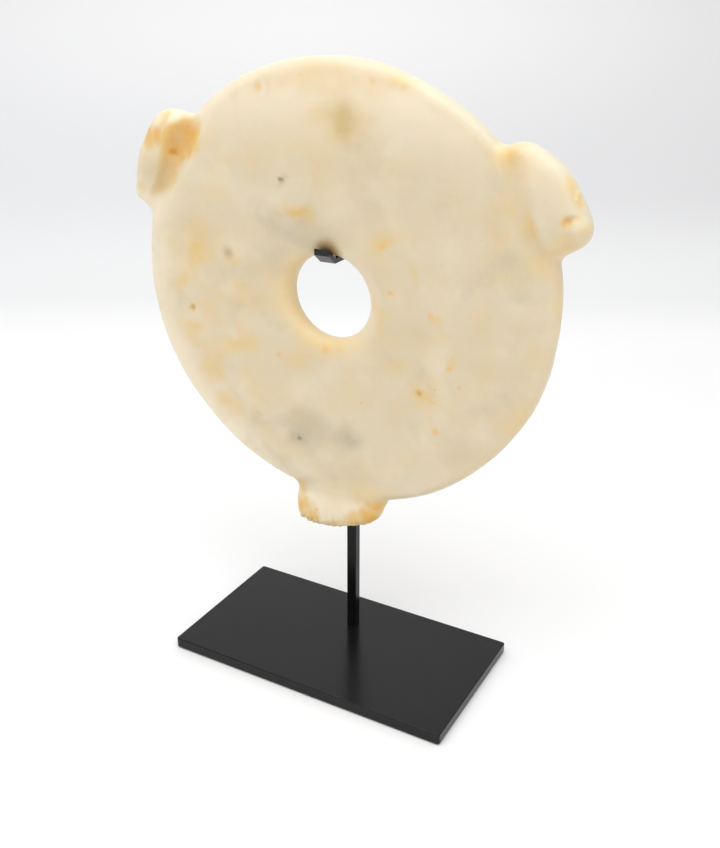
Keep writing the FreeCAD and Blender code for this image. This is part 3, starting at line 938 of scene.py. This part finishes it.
def black_paint(name, shine, least, most):
    """Satin black paint on steel, faintly uneven, with its own shine and range of roughness."""
    material, tree, shader = new_material(name)
    place = coords(tree)
    dusty = cloud(tree, place, *PAINT_DUST)
    feed(tree, shader.inputs["Base Color"], tint(tree, dusty, PAINT_DEEP, PAINT_DUSTY))
    satin = span(tree, noise(tree, place, *PAINT_SHEEN), *NOISE_MIDDLE, least, most)
    feed(tree, shader.inputs["Roughness"], satin)
    shader.inputs["Specular IOR Level"].default_value = shine
    feed(tree, shader.inputs["Normal"], relief(tree, place, *PAINT_PEEL))
    return material


def felt():
    """Black pressed felt with loose fibres."""
    material, tree, shader = new_material("felt")
    place = coords(tree)
    fibres = noise(tree, place, *FELT_FIBRES)
    colour = tint(tree, span(tree, fibres, *FELT_SPAN), FELT_DEEP, FELT_FIBRE)
    feed(tree, shader.inputs["Base Color"], colour)
    shader.inputs["Roughness"].default_value = 0.95
    shader.inputs["Sheen Weight"].default_value = 0.3
    feed(tree, shader.inputs["Normal"], bump(tree, fibres, *FELT_BUMP))
    return material


def plated_steel():
    """Zinc plated steel, a little worn."""
    material, tree, shader = new_material("plated_steel")
    place = coords(tree)
    worn = noise(tree, place, *ZINC_WEAR)
    colour = tint(tree, span(tree, worn, *NOISE_MIDDLE), ZINC_DULL, ZINC_WORN)
    feed(tree, shader.inputs["Base Color"], colour)
    shader.inputs["Metallic"].default_value = 1.0
    feed(tree, shader.inputs["Roughness"], span(tree, worn, *NOISE_MIDDLE, *ZINC_ROUGHNESS))
    feed(tree, shader.inputs["Normal"], bump(tree, worn, *ZINC_BUMP))
    return material


def dress(material, *nodes):
    """Give CAD nodes a material."""
    for name in nodes:
        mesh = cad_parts[name].data
        mesh.materials.clear()
        mesh.materials.append(material)


# Where the paper changes tone, in metres of height or across, and how far to the left of the object the
# painted pool of light on the backdrop is, how wide, and at which heights it starts and is full
TABLE_TO_LOW = (0.002, 0.030)
LOW_TO_WALL = (0.035, 0.115)
LEFT_TO_RIGHT = (-0.75, 0.40)
PAPER_GLOW_LEFT = 0.42
PAPER_GLOW_HALF = 0.62
PAPER_GLOW_RISE = (0.12, 0.28)


def stage_material():
    """White studio paper: brightest on the table, with painted shade a little greyer up the backdrop and to
    the right, and a painted pool of light on the backdrop to the left.
    """
    material, tree, shader = new_material("studio_paper")
    place = tree.nodes.new("ShaderNodeSeparateXYZ")
    feed(tree, place.inputs[0], coords(tree))
    height, across = place.outputs["Z"], place.outputs["X"]
    colour = tint(tree, span(tree, height, *TABLE_TO_LOW), TABLE, PAPER_LOW)
    sides = tint(tree, span(tree, across, *LEFT_TO_RIGHT), PAPER_LEFT, PAPER_RIGHT)
    colour = tint(tree, span(tree, height, *LOW_TO_WALL), colour, sides)
    from_middle = maths(tree, "ABSOLUTE", maths(tree, "ADD", across, PAPER_GLOW_LEFT))
    risen = span(tree, height, *PAPER_GLOW_RISE)
    glow = maths(tree, "MULTIPLY", span(tree, from_middle, PAPER_GLOW_HALF, 0.0), risen)
    feed(tree, shader.inputs["Base Color"], tint(tree, glow, colour, PAPER_HIGH))
    shader.inputs["Roughness"].default_value = 0.9
    shader.inputs["Specular IOR Level"].default_value = 0.1
    return material


# The paper's profile, in metres: from in front of the camera, flat to behind the object, then up a bend
PAPER_NEAR = -3.0
PAPER_FLAT = 0.40
PAPER_BEND = 0.35
PAPER_TOP = 2.2
PAPER_SIDE = 2.6
FLAT_STEPS = 6
BEND_STEPS = 16


def sweep():
    """Table that rises into a backdrop behind the object."""
    facing = Vector((-math.sin(CAMERA_YAW), math.cos(CAMERA_YAW)))
    across = Vector((facing.y, -facing.x))
    profile = [(PAPER_NEAR, 0.0)]
    profile += [(PAPER_FLAT * k / FLAT_STEPS, 0.0) for k in range(-FLAT_STEPS, FLAT_STEPS)]
    for k in range(BEND_STEPS + 1):
        turn = math.radians(90.0 * k / BEND_STEPS)
        profile.append((PAPER_FLAT + PAPER_BEND * math.sin(turn), PAPER_BEND * (1.0 - math.cos(turn))))
    profile.append((PAPER_FLAT + PAPER_BEND, PAPER_TOP))
    vertices, faces = [], []
    for depth, up in profile:
        for side in (-PAPER_SIDE, PAPER_SIDE):
            spot = facing * depth + across * side
            vertices.append((spot.x, spot.y, up))
    for k in range(len(profile) - 1):
        faces.append((2 * k, 2 * k + 1, 2 * k + 3, 2 * k + 2))
    mesh = bpy.data.meshes.new("studio_paper")
    mesh.from_pydata(vertices, [], faces)
    mesh.polygons.foreach_set("use_smooth", np.ones(len(faces), bool))
    mesh.materials.append(stage_material())
    paper = bpy.data.objects.new("studio_paper", mesh)
    bpy.context.scene.collection.objects.link(paper)


# The world's light, and the softbox: its power, sides, place, and the way that its back faces
WORLD_STRENGTH = 0.685
LAMP_WATTS = 11.7
LAMP_SIDES = (1.4, 1.0)
LAMP_PLACE = (0.10, -0.25, 1.25)
LAMP_BACK = (0.10, -0.30, 1.05)


def lights():
    """Plain white world and a wide softbox overhead."""
    world = bpy.data.worlds.new("studio")
    world.use_nodes = True
    background = world.node_tree.nodes["Background"]
    background.inputs["Color"].default_value = (1, 1, 1, 1)
    background.inputs["Strength"].default_value = WORLD_STRENGTH
    bpy.context.scene.world = world
    lamp = bpy.data.lights.new("softbox", "AREA")
    lamp.shape = "RECTANGLE"
    lamp.size, lamp.size_y = LAMP_SIDES
    lamp.energy = LAMP_WATTS
    box = bpy.data.objects.new("softbox", lamp)
    box.location = LAMP_PLACE
    box.rotation_euler = Vector(LAMP_BACK).to_track_quat("Z", "Y").to_euler()
    bpy.context.scene.collection.objects.link(box)


def camera():
    """The photograph's camera."""
    yaw, pitch, roll = CAMERA_YAW, CAMERA_PITCH, CAMERA_ROLL
    back = Vector((math.sin(yaw) * math.cos(pitch), -math.cos(yaw) * math.cos(pitch), math.sin(pitch)))
    right = (-back).cross(Vector((0, 0, 1))).normalized()
    up = right.cross(-back)
    right, up = math.cos(roll) * right + math.sin(roll) * up, -math.sin(roll) * right + math.cos(roll) * up
    data = bpy.data.cameras.new("camera")
    data.sensor_width = SENSOR
    data.lens = FOCAL_PIXELS * SENSOR / IMAGE_LONG_SIDE
    data.clip_start = CLIP_START
    eye = bpy.data.objects.new("camera", data)
    turn = Matrix((right, up, back)).transposed().to_4x4()
    eye.matrix_world = Matrix.Translation(CAMERA_PLACE) @ turn
    bpy.context.scene.collection.objects.link(eye)
    bpy.context.scene.camera = eye


camera()
sweep()
lights()

piece, places = make_stone()
paint_fields(piece.data, places)
piece.data.materials.append(marble())
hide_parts("marble_disc")
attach(piece, "disc")

dress(black_paint("plate_paint", *PLATE_PAINT), "base_plate")
dress(black_paint("post_paint", *POST_PAINT), "post")
dress(black_paint("rubbed_paint", *HOOK_PAINT), "hook")
dress(felt(), "base_felt", "hook_liner", "lug_pad")
dress(plated_steel(), "base_screw")

bpy.context.scene.view_settings.view_transform = "Standard"
